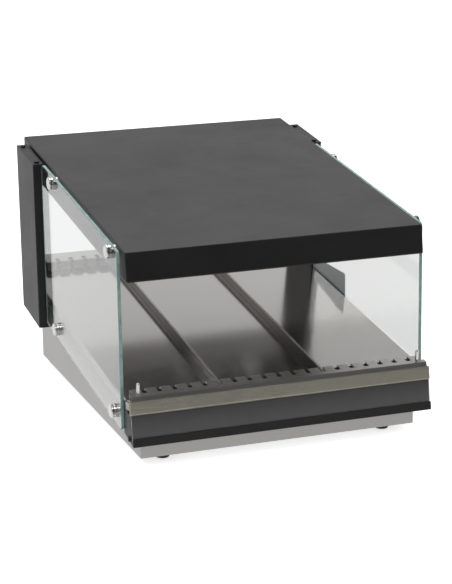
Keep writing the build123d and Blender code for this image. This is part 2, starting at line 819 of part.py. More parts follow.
def make_standoffs():
    stud_end = half_hood - painted_sheet - standoff_nut_length - sheet
    cap_end = glass_outer + standoff_cap_length
    with BuildPart() as standoff_caps:
        for setback, drop in standoff_places():
            for side in (-1, 1):
                low, high = sorted((side * glass_outer, side * cap_end))
                rod_across(setback, drop, standoff_diameter, low, high)
        ends = standoff_caps.edges().filter_by(lambda edge: abs(edge.center().X) > cap_end - sheet)
        chamfer(ends, standoff_chamfer)
        for setback, drop in standoff_places():
            for low, high in both_sides(stud_end, glass_outer):
                rod_across(setback, drop, standoff_bolt_diameter, low, high)
    write(standoff_caps, "standoff_caps")
    with BuildPart() as standoff_barrels:
        for setback, drop in standoff_places():
            for low, high in both_sides(half_hood, glass_inner):
                rod_across(setback, drop, standoff_diameter, low, high)
        for setback, drop in standoff_places():
            bore = standoff_bolt_diameter + 2 * hole_play
            rod_across(setback, drop, bore, -glass_outer, glass_outer, Mode.SUBTRACT)
    write(standoff_barrels, "standoff_barrels")
    with BuildPart() as standoff_nuts:
        for setback, drop in standoff_places():
            wall = painted_sheet if drop == standoff_rows[0] else sheet
            bore = standoff_bolt_diameter + hole_play
            for low, high in both_sides(half_hood - wall - standoff_nut_length, half_hood - wall):
                nut_across(setback, drop, standoff_nut_width, bore, low, high)
    write(standoff_nuts, "standoff_nuts")


# The rear columns

def make_column(side, name):
    shell_top = column_top_drop + cap_sheet
    middle = side * (column_inner + column_outer) / 2
    screws = [(middle, up_slope(column_front + cap_screw_inset)),
              (middle, up_slope(column_rear - cap_screw_inset))]
    low, high = sorted((side * column_inner, side * column_outer))
    wall = painted_sheet
    with BuildPart() as column_shell:
        prism(block(column_front, column_rear, shell_top, column_bottom_drop), low, high)
        outer = column_shell.edges().filter_by(Axis.Z)
        fillet(outer.filter_by(lambda edge: abs(edge.center().X) > column_outer - 1), column_corner)
        pocket = block(column_front + wall, column_rear - wall, 0, column_bottom_drop - wall)
        prism(pocket, *sorted((side * (column_inner - wall), side * (column_outer - wall))), Mode.SUBTRACT)
    write(column_shell, f"column_shell_{name}")
    with BuildPart() as column_cap:
        prism(block(column_front, column_rear, column_top_drop, shell_top), low, high)
        with BuildSketch(tilted(column_top_drop)) as holes:
            with Locations(*screws):
                Circle(cap_screw_diameter / 2 + hole_play)
        extrude(holes.sketch, amount=-2 * cap_sheet, mode=Mode.SUBTRACT)
    write(column_cap, f"column_cap_{name}")
    post_front = column_front + wall + post_inset
    post_rear = column_rear - wall - post_inset
    post_bottom = column_bottom_drop - wall - post_end_gap
    post_low, post_high = sorted((side * column_inner, side * (column_outer - wall - play)))
    with BuildPart() as column_post:
        prism(block(post_front, post_rear, shell_top, post_bottom), post_low, post_high)
        channel = block(
            post_front + post_flange, post_rear - post_flange, shell_top + post_web, post_bottom + wall
        )
        prism(channel, *sorted((side * (column_inner + post_web), side * column_outer)), Mode.SUBTRACT)
        for setback, drop in column_bolt_places():
            bore = column_bolt_diameter + 2 * hole_play
            rod_across(setback, drop, bore, low - wall, high + wall, Mode.SUBTRACT)
        with BuildSketch(tilted(column_top_drop)) as holes:
            with Locations(*screws):
                Circle(cap_screw_diameter / 2 + hole_play)
        extrude(holes.sketch, amount=-3 * post_web, mode=Mode.SUBTRACT)
        if side > 0:
            for drop in column_bolt_rows:
                harness_hole(drop, column_inner - wall, column_inner + 2 * post_web)
    write(column_post, f"column_post_{name}")


def make_column_fixings():
    with BuildPart() as column_spacers:
        for setback, drop in column_bolt_places():
            for low, high in both_sides(half_hood, column_inner):
                rod_across(setback, drop, spacer_diameter, low, high)
        for setback, drop in column_bolt_places():
            bore = column_bolt_diameter + 2 * hole_play
            rod_across(setback, drop, bore, -column_outer, column_outer, Mode.SUBTRACT)
    write(column_spacers, "column_spacers")
    head = column_inner + post_web
    shank_end = half_hood - painted_sheet - column_nut_length - sheet
    with BuildPart() as column_bolts:
        for setback, drop in column_bolt_places():
            for low, high in both_sides(shank_end, head):
                rod_across(setback, drop, column_bolt_diameter, low, high)
            for low, high in both_sides(head, head + column_bolt_head_height):
                rod_across(setback, drop, column_bolt_head, low, high)
    write(column_bolts, "column_bolts")
    with BuildPart() as column_nuts:
        for setback, drop in column_bolt_places():
            wall = painted_sheet if drop == column_bolt_rows[0] else sheet
            bore = column_bolt_diameter + hole_play
            for low, high in both_sides(half_hood - wall - column_nut_length, half_hood - wall):
                nut_across(setback, drop, column_bolt_head, bore, low, high)
    write(column_nuts, "column_nuts")
    middle = (column_inner + column_outer) / 2
    places = [(side * middle, up_slope(setback)) for side in (-1, 1)
              for setback in (column_front + cap_screw_inset, column_rear - cap_screw_inset)]
    with BuildPart() as cap_screws:
        with BuildSketch(tilted(column_top_drop)) as heads:
            with Locations(*places):
                Circle(cap_screw_head / 2)
        extrude(heads.sketch, amount=cap_screw_head_height)
        fillet(cap_screws.edges().group_by(above_tilt)[-1], cap_screw_round)
        with BuildSketch(tilted(column_top_drop)) as shanks:
            with Locations(*places):
                Circle(cap_screw_diameter / 2)
        extrude(shanks.sketch, amount=-cap_screw_length)
    write(cap_screws, "cap_screws")


def make_harness():
    setback = column_front + harness_setback
    upright = column_outer - painted_sheet - harness_wall_gap - harness_diameter / 2
    inside = half_hood - harness_reach
    levels = [at(setback, drop)[1] for drop in column_bolt_rows]
    with BuildPart() as hood_harness:
        with BuildLine(Plane.XZ.offset(-(hood_front + setback))) as route:
            FilletPolyline(
                (inside, levels[0]),
                (upright, levels[0]),
                (upright, levels[1]),
                (inside, levels[1]),
                radius=harness_bend,
            )
        with BuildSketch(Plane(route.line @ 0, z_dir=route.line % 0)) as section:
            Circle(harness_diameter / 2)
        sweep(section.sketch, path=route.line)
    write(hood_harness, "hood_harness")
    bush_low = half_hood - 2 * painted_sheet
    bush_high = column_inner + post_web
    with BuildPart() as harness_bushes:
        for drop in column_bolt_rows:
            rod_across(setback, drop, harness_diameter + 2 * bush_thickness, bush_low, bush_high)
            bore = harness_diameter + 2 * hole_play
            rod_across(setback, drop, bore, bush_low - sheet, bush_high + sheet, Mode.SUBTRACT)
    write(harness_bushes, "harness_bushes")


# The base

def round_screws(seat, places, diameter, length, head):
    # Screws with the heads below the seat plane and the shanks up through it, or the
    # other way round where the lengths are negative
    head_diameter, head_height = head
    with BuildSketch(seat) as shanks:
        with Locations(*places):
            Circle(diameter / 2)
    extrude(shanks.sketch, amount=length)
    with BuildSketch(seat) as heads:
        with Locations(*places):
            Circle(head_diameter / 2)
    extrude(heads.sketch, amount=-head_height)


def make_base_housing():
    outline = [at_height(base_front, foot_height), at_height(base_rear, foot_height)]
    outline += [at(base_rear, tray_drop), at(0, tray_drop), at(base_front, tray_drop + base_front_dip)]
    inside = [at_height(base_front + sheet, 0), at_height(base_rear - sheet, 0)]
    inside += [at(base_rear - sheet, 0), at(base_front + sheet, 0)]
    with BuildPart() as base_housing:
        prism(outline, -half_base, half_base)
        fillet(base_housing.edges().filter_by(Axis.Z), base_corner)
        prism(inside, -half_base + sheet, half_base - sheet, Mode.SUBTRACT)
        front = base_front + base_flange
        rear = base_rear - base_flange
        lower = [at_height(front, foot_height), at_height(rear, foot_height)]
        lower += [at_height(rear, foot_height + sheet), at_height(front, foot_height + sheet)]
        for low, high in both_sides(half_base - base_flange, half_base - sheet):
            prism(block(front, rear, tray_drop, tray_drop + sheet), low, high)
            prism(lower, low, high)
        with BuildSketch(tilted(tray_drop)) as holes:
            with Locations(*tray_screw_places()):
                Circle(base_screw_diameter / 2 + hole_play)
        extrude(holes.sketch, amount=2 * sheet, both=True, mode=Mode.SUBTRACT)
        with BuildSketch() as lower_holes:
            with Locations(*bottom_screw_places()):
                Circle(base_screw_diameter / 2 + hole_play)
        extrude(lower_holes.sketch, amount=foot_height + 2 * sheet, mode=Mode.SUBTRACT)
        with BuildSketch(rear_plane(sheet)) as rear_holes:
            with Locations(panel_centre):
                Rectangle(panel_size[0] - 2 * panel_margin, panel_size[1] - 2 * panel_margin)
            with Locations(*panel_screw_places()):
                Circle(panel_screw_diameter / 2 + hole_play)
            with Locations(gland_place):
                Circle(gland_thread_diameter / 2 + hole_play)
        extrude(rear_holes.sketch, amount=-3 * sheet, mode=Mode.SUBTRACT)
    write(base_housing, "base_housing")


def make_base_bottom():
    plate_front = hood_front + base_front + sheet + play
    plate_rear = hood_front + base_rear - sheet - play
    plate_half = half_base - sheet - play
    plate_low = foot_height + sheet
    with BuildPart() as base_bottom_plate:
        with BuildSketch(Plane.XY.offset(plate_low)) as outline:
            with Locations((0, (plate_front + plate_rear) / 2)):
                Rectangle(2 * plate_half, plate_rear - plate_front)
            with Locations(*foot_places()):
                Circle(foot_screw_diameter / 2 + hole_play, mode=Mode.SUBTRACT)
            with Locations(*bottom_screw_places()):
                Circle(base_screw_diameter / 2 + hole_play, mode=Mode.SUBTRACT)
        extrude(outline.sketch, amount=sheet)
    write(base_bottom_plate, "base_bottom_plate")
    with BuildPart() as feet:
        with BuildSketch() as pads:
            with Locations(*foot_places()):
                Circle(foot_diameter / 2)
        extrude(pads.sketch, amount=plate_low)
        chamfer(feet.edges().group_by(Axis.Z)[0], foot_chamfer)
        with BuildSketch() as bores:
            with Locations(*foot_places()):
                Circle(foot_screw_diameter / 2 + hole_play)
        extrude(bores.sketch, amount=plate_low, mode=Mode.SUBTRACT)
        with BuildSketch() as recesses:
            with Locations(*foot_places()):
                Circle(foot_recess[0] / 2)
        extrude(recesses.sketch, amount=foot_recess[1], mode=Mode.SUBTRACT)
    write(feet, "feet")
    with BuildPart() as foot_screws:
        seat = Plane.XY.offset(foot_recess[1])
        round_screws(seat, foot_places(), foot_screw_diameter, foot_screw_length, foot_screw_head)
    write(foot_screws, "foot_screws")
    with BuildPart() as bottom_screws:
        seat = Plane.XY.offset(foot_height)
        round_screws(seat, bottom_screw_places(), base_screw_diameter, base_screw_length, base_screw_head)
    write(bottom_screws, "bottom_screws")
    with BuildPart() as tray_screws:
        seat = tilted(tray_drop).offset(sheet * cos(radians(tilt)))
        head_above = (base_screw_head[0], -base_screw_head[1])
        round_screws(seat, tray_screw_places(), base_screw_diameter, -base_screw_length, head_above)
    write(tray_screws, "tray_screws")


# The controls at the rear

def make_control_panel():
    with BuildPart() as control_panel:
        with BuildSketch(rear_plane()) as outline:
            with Locations(panel_centre):
                RectangleRounded(*panel_size, panel_corner)
            with Locations(*panel_screw_places()):
                Circle(panel_screw_diameter / 2 + hole_play, mode=Mode.SUBTRACT)
            with Locations(on_panel(knob_offset)):
                Circle(thermostat_neck / 2 + hole_play, mode=Mode.SUBTRACT)
            with Locations(*[on_panel(offset) for offset in switch_offsets]):
                Rectangle(*switch_outline(hole_play), mode=Mode.SUBTRACT)
            with Locations(on_panel(pilot_offset)):
                Circle(pilot_neck / 2 + hole_play, mode=Mode.SUBTRACT)
        extrude(outline.sketch, amount=panel_sheet)
    write(control_panel, "control_panel")
    with BuildPart() as panel_screws:
        with BuildSketch(rear_plane(panel_sheet)) as heads:
            with Locations(*panel_screw_places()):
                Circle(panel_screw_head[0] / 2)
        extrude(heads.sketch, amount=panel_screw_head[1])
        fillet(panel_screws.edges().group_by(Axis.Y)[-1], panel_screw_head[1] / 2)
        with BuildSketch(rear_plane(panel_sheet)) as shanks:
            with Locations(*panel_screw_places()):
                Circle(panel_screw_diameter / 2)
        extrude(shanks.sketch, amount=-panel_screw_length)
    write(panel_screws, "panel_screws")


def make_thermostat():
    place = on_panel(knob_offset)
    with BuildPart() as thermostat_body:
        with BuildSketch(rear_plane()) as case:
            with Locations(place):
                Rectangle(thermostat_size[0], thermostat_size[1])
        extrude(case.sketch, amount=-thermostat_size[2])
        with BuildSketch(rear_plane()) as neck:
            with Locations(place):
                Circle(thermostat_neck / 2)
        extrude(neck.sketch, amount=panel_sheet)
        with BuildSketch(rear_plane(panel_sheet)) as bore:
            with Locations(place):
                Circle(knob_shaft_diameter / 2 + running_fit)
        extrude(bore.sketch, amount=-knob_shaft_length - play, mode=Mode.SUBTRACT)
    write(thermostat_body, "thermostat_body")
    seat = panel_sheet + play
    with BuildPart() as thermostat_knob:
        with BuildSketch(rear_plane(seat)) as skirt:
            with Locations(place):
                Circle(knob_diameter / 2)
        extrude(skirt.sketch, amount=knob_skirt)
        with BuildSketch(rear_plane(seat + knob_skirt)) as grip:
            with Locations(place):
                Circle(knob_grip_diameter / 2)
                with PolarLocations(knob_grip_diameter / 2, knob_flutes):
                    Circle(knob_flute / 2, mode=Mode.SUBTRACT)
        extrude(grip.sketch, amount=knob_depth - knob_skirt)
        chamfer(thermostat_knob.edges().group_by(Axis.Y)[-1], knob_chamfer)
        with BuildSketch(rear_plane(seat + knob_depth)) as pointer:
            with Locations((place[0], place[1] + knob_grip_diameter / 4)):
                Rectangle(knob_pointer[0], knob_grip_diameter / 2)
        extrude(pointer.sketch, amount=-knob_pointer[1], mode=Mode.SUBTRACT)
        with BuildSketch(rear_plane(seat)) as shaft:
            with Locations(place):
                Circle(knob_shaft_diameter / 2)
        extrude(shaft.sketch, amount=-knob_shaft_length)
    write(thermostat_knob, "thermostat_knob")


def switch_outline(extra=0.0):
    # The outside of a switch body where it goes through the panel
    return [size + 2 * (play + switch_wall + extra) for size in rocker_size]


def make_switch(offset, name):
    place = on_panel(offset)
    pivot_y = hood_front + base_rear + panel_sheet
    pivot_reach = rocker_size[0] / 2 + play + switch_wall / 2
    bezel = [size + 2 * switch_bezel for size in switch_outline()]
    with BuildPart() as switch_body:
        with BuildSketch(rear_plane(panel_sheet)) as frame:
            with Locations(place):
                RectangleRounded(*bezel, switch_wall)
        extrude(frame.sketch, amount=switch_bezel_height)
        with BuildSketch(rear_plane(panel_sheet)) as case:
            with Locations(place):
                Rectangle(*switch_outline())
        extrude(case.sketch, amount=-switch_depth)
        with BuildSketch(rear_plane(panel_sheet + switch_bezel_height)) as pocket:
            with Locations(place):
                Rectangle(rocker_size[0] + 2 * play, rocker_size[1] + 2 * play)
        extrude(pocket.sketch, amount=-switch_bezel_height - rocker_room, mode=Mode.SUBTRACT)
        with BuildSketch(Plane.YZ.offset(-place[0] - pivot_reach)) as pivot_bore:
            with Locations((pivot_y, place[1])):
                Circle(rocker_pivot_diameter / 2 + running_fit)
        extrude(pivot_bore.sketch, amount=2 * pivot_reach, mode=Mode.SUBTRACT)
    write(switch_body, f"{name}_switch_body")
    tilt_now = radians(rocker_tilt)
    pressed = Plane(
        origin=(-place[0], pivot_y, place[1]),
        x_dir=(0, cos(tilt_now), sin(tilt_now)),
        z_dir=(1, 0, 0),
    )
    half_height = rocker_size[1] / 2
    end_reach = (half_height**2 - rocker_proud**2) ** 0.5
    with BuildPart() as rocker:
        with BuildSketch(pressed) as profile:
            Circle(half_height)
            with BuildLine():
                Polyline(
                    (rocker_proud, end_reach),
                    (rocker_middle, 0),
                    (rocker_proud, -end_reach),
                    (2 * half_height, -2 * half_height),
                    (2 * half_height, 2 * half_height),
                    close=True,
                )
            make_face(mode=Mode.SUBTRACT)
            with Locations((-rocker_back - half_height, 0)):
                Rectangle(2 * half_height, 2 * half_height, mode=Mode.SUBTRACT)
        extrude(profile.sketch, amount=rocker_size[0] / 2, both=True)
        with BuildSketch(pressed) as pivot:
            Circle(rocker_pivot_diameter / 2)
        extrude(pivot.sketch, amount=pivot_reach - play, both=True)
    write(rocker, f"{name}_rocker")


def make_pilot_lamp():
    with BuildPart() as pilot_lamp:
        with BuildSketch(rear_plane(panel_sheet)) as lens:
            with Locations(on_panel(pilot_offset)):
                Circle(pilot_diameter / 2)
        extrude(lens.sketch, amount=pilot_proud)
        fillet(pilot_lamp.edges().group_by(Axis.Y)[-1], pilot_round)
        with BuildSketch(rear_plane(panel_sheet)) as neck:
            with Locations(on_panel(pilot_offset)):
                Circle(pilot_neck / 2)
        extrude(neck.sketch, amount=-pilot_length)
    write(pilot_lamp, "pilot_lamp")


def make_supply_parts():
    with BuildPart() as cable_gland:
        with BuildSketch(rear_plane()) as head:
            with Locations(gland_place):
                RegularPolygon(gland_head_width / 2, 6, major_radius=False)
        extrude(head.sketch, amount=gland_head_height)
        with BuildSketch(rear_plane()) as thread:
            with Locations(gland_place):
                Circle(gland_thread_diameter / 2)
        extrude(thread.sketch, amount=-gland_thread_length)
        with BuildSketch(rear_plane(-sheet)) as lock_nut:
            with Locations(gland_place):
                RegularPolygon(gland_head_width / 2, 6, major_radius=False)
        extrude(lock_nut.sketch, amount=-gland_nut_height)
        with BuildSketch(rear_plane(gland_head_height)) as bore:
            with Locations(gland_place):
                Circle(gland_bore / 2)
        extrude(bore.sketch, amount=-gland_head_height - gland_thread_length, mode=Mode.SUBTRACT)
    write(cable_gland, "cable_gland")
    length, depth, height = terminal_size
    top = foot_height + 2 * sheet + height
    centre = (-gland_place[0], hood_front + base_rear - terminal_setback)
    with BuildPart() as terminal_block:
        with BuildSketch(Plane.XY.offset(foot_height + 2 * sheet)) as case:
            with Locations(centre):
                Rectangle(length, depth)
        extrude(case.sketch, amount=height)
        with BuildSketch(Plane.XY.offset(top)) as screws:
            with Locations(centre):
                with GridLocations(length / terminal_ways, depth / 2, terminal_ways, 2):
                    Circle(terminal_screw_diameter / 2)
        extrude(screws.sketch, amount=-height / 2, mode=Mode.SUBTRACT)
    write(terminal_block, "terminal_block")


write_order = (
    make_hood_shell,
    make_hood_tray,
    make_lamp,
    make_hood_heater,
    make_heater_guard,
    make_deck_tray,
    make_deck_plate,
    make_comb_strips,
    make_lane_dividers,
    make_deck_heater,
    make_front_strip,
    make_ticket_rail,
    make_ticket_parts,
    make_side_glass,
    make_standoffs,
    make_column_fixings,
    make_harness,
    make_base_housing,
    make_base_bottom,
    make_control_panel,
    make_thermostat,
    make_pilot_lamp,
    make_supply_parts,
)
for make in write_order:
    make()
for offset, name in zip(switch_offsets, ("power", "light")):
    make_switch(offset, name)
for side, name in ((-1, "left"), (1, "right")):
    make_column(side, name)
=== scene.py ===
import math

import bmesh
import bpy
from mathutils import Matrix, Vector


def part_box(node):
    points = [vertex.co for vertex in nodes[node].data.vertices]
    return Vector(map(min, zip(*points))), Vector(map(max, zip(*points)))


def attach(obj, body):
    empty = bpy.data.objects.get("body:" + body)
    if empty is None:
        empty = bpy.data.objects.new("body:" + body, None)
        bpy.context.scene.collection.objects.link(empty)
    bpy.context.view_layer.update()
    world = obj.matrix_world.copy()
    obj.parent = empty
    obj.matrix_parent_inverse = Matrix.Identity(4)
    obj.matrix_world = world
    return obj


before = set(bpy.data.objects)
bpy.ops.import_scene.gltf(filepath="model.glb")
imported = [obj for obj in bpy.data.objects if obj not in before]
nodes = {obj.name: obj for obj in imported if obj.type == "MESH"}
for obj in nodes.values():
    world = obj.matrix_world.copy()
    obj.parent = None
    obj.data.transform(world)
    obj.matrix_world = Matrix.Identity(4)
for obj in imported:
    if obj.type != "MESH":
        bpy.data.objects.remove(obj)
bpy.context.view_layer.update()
print("frame loaded:", len(nodes), "nodes")

bevelSamples = 4
deckTilt = math.radians(7.16)
sideways = 0.8      # the least x of the normal of a pane's flat or a sheet's end


def addNode(tree, kind, **settings):
    made = tree.nodes.new(kind)
    for name, value in settings.items():
        setattr(made, name, value)
    return made


# numbers and tuples are set on the socket, and anything else is linked to it
def feed(tree, socket, value):
    if isinstance(value, (int, float)):
        socket.default_value = value
    elif isinstance(value, tuple):
        socket.default_value = (*value, 1.0)
    else:
        tree.links.new(value, socket)


def calculate(tree, operation, *values):
    made = addNode(tree, "ShaderNodeMath", operation=operation)
    for socket, value in zip(made.inputs, values):
        feed(tree, socket, value)
    return made.outputs[0]


# value from start to end becomes low to high
def spread(tree, value, low, high, start=0.3, end=0.7):
    made = addNode(tree, "ShaderNodeMapRange")
    tree.links.new(value, made.inputs["Value"])
    for name, number in (("From Min", start), ("From Max", end), ("To Min", low), ("To Max", high)):
        made.inputs[name].default_value = number
    return made.outputs["Result"]


# the x, y and z of a texture coordinate
def coordinateParts(tree, coordinate):
    where = addNode(tree, "ShaderNodeTexCoord")
    parts = addNode(tree, "ShaderNodeSeparateXYZ")
    tree.links.new(where.outputs[coordinate], parts.inputs[0])
    return parts.outputs


# 1 for rays that see a thing directly or through glass, else 0
def seenDirectly(tree, path):
    return calculate(tree, "MAXIMUM", path.outputs["Is Camera Ray"], path.outputs["Is Transmission Ray"])


def mixShaders(tree, amount, first, second):
    mix = addNode(tree, "ShaderNodeMixShader")
    for socket, value in zip(mix.inputs, (amount, first, second)):
        tree.links.new(value, socket)
    return mix.outputs[0]


def makeCamera():
    values = {
        "place": (-0.9322, -2.6877, 0.9100),
        "yaw": 19.44,       # degrees, turned towards +X
        "pitch": 14.67,     # degrees, looking down
        "roll": -0.88,
        "lens": 116.4,
        "sensor": 36.0,
        "nearest": 0.05,
        "furthest": 60.0,
    }
    yaw, pitch, roll = (math.radians(values[key]) for key in ("yaw", "pitch", "roll"))
    ahead = Vector((math.sin(yaw) * math.cos(pitch), math.cos(yaw) * math.cos(pitch), -math.sin(pitch)))
    right = Vector((math.cos(yaw), -math.sin(yaw), 0.0))
    up = right.cross(ahead)
    side = math.cos(roll) * right + math.sin(roll) * up
    top = -math.sin(roll) * right + math.cos(roll) * up
    camera = bpy.data.objects.new("camera", bpy.data.cameras.new("camera"))
    camera.data.lens = values["lens"]
    camera.data.sensor_width = values["sensor"]
    camera.data.clip_start = values["nearest"]
    camera.data.clip_end = values["furthest"]
    turn = Matrix((side, top, -ahead)).transposed().to_4x4()
    camera.matrix_world = Matrix.Translation(values["place"]) @ turn
    bpy.context.scene.collection.objects.link(camera)
    bpy.context.scene.camera = camera


def makeWorld():
    values = {
        "lightLevel": 0.62,
        "lightTint": (1.0, 0.995, 0.985, 1.0),
        "seenTint": (1.0, 1.0, 1.0, 1.0),
        "frontShine": 0.13,     # what glossy faces see towards the front
        "backShine": 1.0,       # and towards the rear, up to the top of the studio's backdrop
        "aboveShine": 0.16,
        "rearFrom": (-0.35, 0.35),
        "backdropTop": (0.44, 0.60),
    }
    world = bpy.data.worlds.new("studio")
    bpy.context.scene.world = world
    world.use_nodes = True
    tree = world.node_tree
    tree.nodes.clear()
    path = addNode(tree, "ShaderNodeLightPath")
    parts = coordinateParts(tree, "Generated")
    rearShine = values["backShine"] - values["frontShine"]
    rearward = spread(tree, parts["Y"], 0.0, rearShine, *values["rearFrom"])
    lowDown = spread(tree, parts["Z"], 1.0, values["aboveShine"], *values["backdropTop"])
    shine = calculate(tree, "MULTIPLY_ADD", rearward, lowDown, values["frontShine"])
    direct = seenDirectly(tree, path)
    mirrored = calculate(tree, "MAXIMUM", direct, path.outputs["Is Glossy Ray"])
    light = addNode(tree, "ShaderNodeBackground")
    light.inputs["Color"].default_value = values["lightTint"]
    light.inputs["Strength"].default_value = values["lightLevel"]
    shown = addNode(tree, "ShaderNodeBackground")
    shown.inputs["Color"].default_value = values["seenTint"]
    tree.links.new(calculate(tree, "MAXIMUM", direct, shine), shown.inputs["Strength"])
    out = addNode(tree, "ShaderNodeOutputWorld")
    tree.links.new(mixShaders(tree, mirrored, light.outputs[0], shown.outputs[0]), out.inputs[0])


# white paper for the camera, and a grey gradient for the pieces that mirror it
def makeFloor():
    values = {
        "half": 9.0,
        "colour": (0.86, 0.86, 0.855, 1.0),
        "lift": 0.6,            # added for the camera, so that the lit floor is white
        "liftTint": (1.0, 1.0, 1.0, 1.0),
        "frontShine": 0.13,
        "backShine": 0.95,
        "shineFrom": (-1.25, -0.4),
        "roughness": 0.9,
        "specular": 0.1,
        "drop": 0.0003,
    }
    mesh = bpy.data.meshes.new("floor")
    shape = bmesh.new()
    bmesh.ops.create_grid(shape, x_segments=1, y_segments=1, size=values["half"])
    bmesh.ops.translate(shape, verts=shape.verts, vec=(0, 0, -values["drop"]))
    shape.to_mesh(mesh)
    shape.free()
    floor = bpy.data.objects.new("floor", mesh)
    bpy.context.scene.collection.objects.link(floor)
    material = bpy.data.materials.new("floorPaper")
    material.use_nodes = True
    tree = material.node_tree
    shader = tree.nodes["Principled BSDF"]
    shader.inputs["Base Color"].default_value = values["colour"]
    shader.inputs["Roughness"].default_value = values["roughness"]
    shader.inputs["Specular IOR Level"].default_value = values["specular"]
    shader.inputs["Emission Color"].default_value = values["liftTint"]
    path = addNode(tree, "ShaderNodeLightPath")
    lift = calculate(tree, "MULTIPLY", seenDirectly(tree, path), values["lift"])
    tree.links.new(lift, shader.inputs["Emission Strength"])
    parts = coordinateParts(tree, "Object")
    shine = spread(tree, parts["Y"], values["frontShine"], values["backShine"], *values["shineFrom"])
    mirror = addNode(tree, "ShaderNodeEmission")
    tree.links.new(shine, mirror.inputs["Strength"])
    mixed = mixShaders(tree, path.outputs["Is Glossy Ray"], shader.outputs[0], mirror.outputs[0])
    tree.links.new(mixed, tree.nodes["Material Output"].inputs[0])
    mesh.materials.append(material)


def makeLamps():
    values = {
        "key": ((-1.5, -1.5, 2.1), 1.5, 30.0),      # place, size, watts
        "top": ((0.1, 0.5, 2.3), 1.8, 28.0),
        "fill": ((1.9, -0.9, 1.3), 1.2, 12.0),
        "back": ((-0.6, 2.2, 1.5), 1.4, 14.0),
        "aim": (0.0, 0.0, 0.2),
    }
    for name in ("key", "top", "fill", "back"):
        place, size, power = values[name]
        lamp = bpy.data.lights.new(name, "AREA")
        lamp.shape = "SQUARE"
        lamp.size = size
        lamp.energy = power
        lampObject = bpy.data.objects.new(name, lamp)
        lampObject.location = place
        lampObject.visible_glossy = name != "back"
        towards = Vector(values["aim"]) - Vector(place)
        lampObject.rotation_euler = towards.to_track_quat("-Z", "Y").to_euler()
        bpy.context.scene.collection.objects.link(lampObject)


bpy.context.scene.view_settings.view_transform = "Standard"
makeCamera()
makeWorld()
makeFloor()
makeLamps()
print("camera, floor and lamps made")


# a new material and its tree, with the constant sockets set on the shader
def startMaterial(name, **sockets):
    material = bpy.data.materials.new(name)
    material.use_nodes = True
    shader = material.node_tree.nodes["Principled BSDF"]
    for socket, value in sockets.items():
        shader.inputs[socket.replace("_", " ")].default_value = value
    return material, material.node_tree, shader


# noise on the piece's own place; stretch holds the waves per metre, or those along x, y and z
def grain(tree, stretch, detail=4.0, rough=0.55, turn=(0.0, 0.0, 0.0)):
    where = addNode(tree, "ShaderNodeTexCoord")
    lay = addNode(tree, "ShaderNodeMapping")
    lay.inputs["Scale"].default_value = stretch if isinstance(stretch, tuple) else (stretch,) * 3
    lay.inputs["Rotation"].default_value = turn
    tree.links.new(where.outputs["Object"], lay.inputs["Vector"])
    noise = addNode(tree, "ShaderNodeTexNoise")
    noise.inputs["Scale"].default_value = 1.0
    noise.inputs["Detail"].default_value = detail
    noise.inputs["Roughness"].default_value = rough
    tree.links.new(lay.outputs[0], noise.inputs["Vector"])
    return noise.outputs["Fac"]


def blendColour(tree, amount, first, second):
    mix = addNode(tree, "ShaderNodeMix", data_type="RGBA")
    for socket, value in ((mix.inputs["Factor"], amount), (mix.inputs[6], first), (mix.inputs[7], second)):
        feed(tree, socket, value)
    return mix.outputs[2]


def blendValue(tree, amount, first, second):
    mix = addNode(tree, "ShaderNodeMix", data_type="FLOAT")
    for socket, value in ((mix.inputs["Factor"], amount), (mix.inputs[2], first), (mix.inputs[3], second)):
        feed(tree, socket, value)
    return mix.outputs[0]


# the noise takes the colour from dark to pale
def colourBy(tree, shader, noise, dark, pale):
    tree.links.new(blendColour(tree, spread(tree, noise, 0, 1), dark, pale), shader.inputs["Base Color"])


# the noise takes the roughness through its range
def dullBy(tree, shader, noise, roughness):
    tree.links.new(spread(tree, noise, *roughness), shader.inputs["Roughness"])


# the normal, with edges rounded by the radius
def roundedNormal(tree, radius):
    soft = addNode(tree, "ShaderNodeBevel", samples=bevelSamples)
    soft.inputs["Radius"].default_value = radius
    return soft.outputs[0]


# a fine relief, over edges that catch the light as if rounded by the edge radius
def bump(tree, shader, height, strength, distance, edge=0.0):
    made = addNode(tree, "ShaderNodeBump")
    if edge:
        tree.links.new(roundedNormal(tree, edge), made.inputs["Normal"])
    made.inputs["Strength"].default_value = strength
    made.inputs["Distance"].default_value = distance
    tree.links.new(height, made.inputs["Height"])
    tree.links.new(made.outputs[0], shader.inputs["Normal"])


# 1 on faces whose normal lies along the axis, else 0
def facing(tree, axis, limit=0.7):
    along = calculate(tree, "ABSOLUTE", coordinateParts(tree, "Normal")[axis])
    return calculate(tree, "GREATER_THAN", along, limit)


# 0 on flats, rising to 1 on edges; used for real paint wear and for painted edge highlights
def edgeMaskForWearAndHighlight(tree, radius, start, end):
    flat = addNode(tree, "ShaderNodeNewGeometry")
    dot = addNode(tree, "ShaderNodeVectorMath", operation="DOT_PRODUCT")
    tree.links.new(roundedNormal(tree, radius), dot.inputs[0])
    tree.links.new(flat.outputs["Normal"], dot.inputs[1])
    return spread(tree, dot.outputs["Value"], 1.0, 0.0, start, end)


